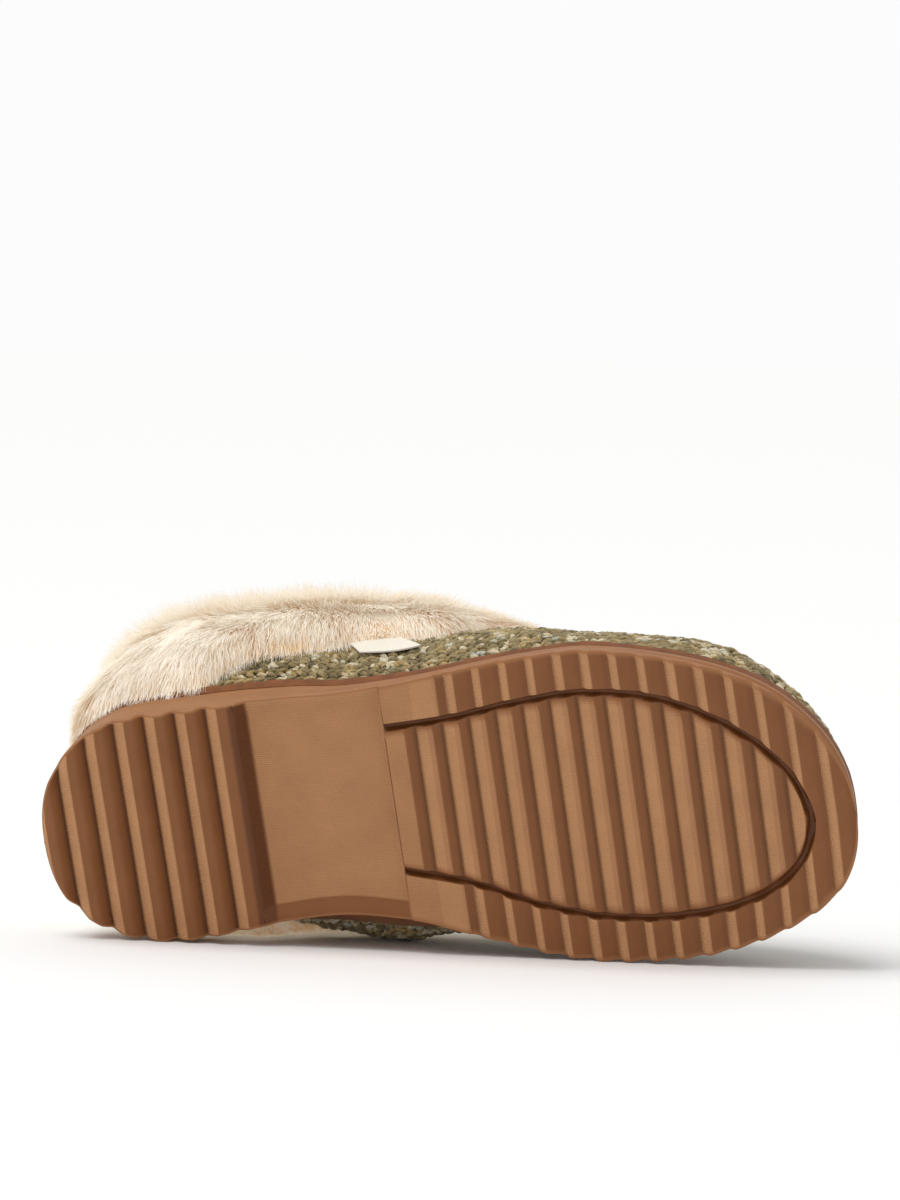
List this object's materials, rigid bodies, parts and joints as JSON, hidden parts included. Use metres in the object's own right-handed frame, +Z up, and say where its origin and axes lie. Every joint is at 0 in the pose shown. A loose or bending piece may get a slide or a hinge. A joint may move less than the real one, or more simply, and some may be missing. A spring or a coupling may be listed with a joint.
{
  "type": "knitted slipper",
  "caption": "Right-foot knitted clog slipper with a deep-pile cuff, suede foxing and a ribbed tan rubber sole, lying on its inner side",
  "frame": {"origin": "Centre of the bounding box in plan, on the floor the slipper lies on", "axes": "+X toe, +Z up towards the outer side of the foot, tread faces -Y"},
  "size_m": [0.276, 0.1048, 0.1141],
  "materials": {
    "tan_rubber": "matte",
    "tan_suede": "matte",
    "cream_footbed": "matte",
    "olive_knit": "matte",
    "cream_pile": "matte",
    "cream_ribbon": "matte"
  },
  "bodies": {
    "root": {"outsole": "tan_rubber", "foxing": "tan_suede", "insole": "cream_footbed", "upper": "olive_knit", "fur_collar": "cream_pile", "label_tab": "cream_ribbon"}
  },
  "joints": []
}
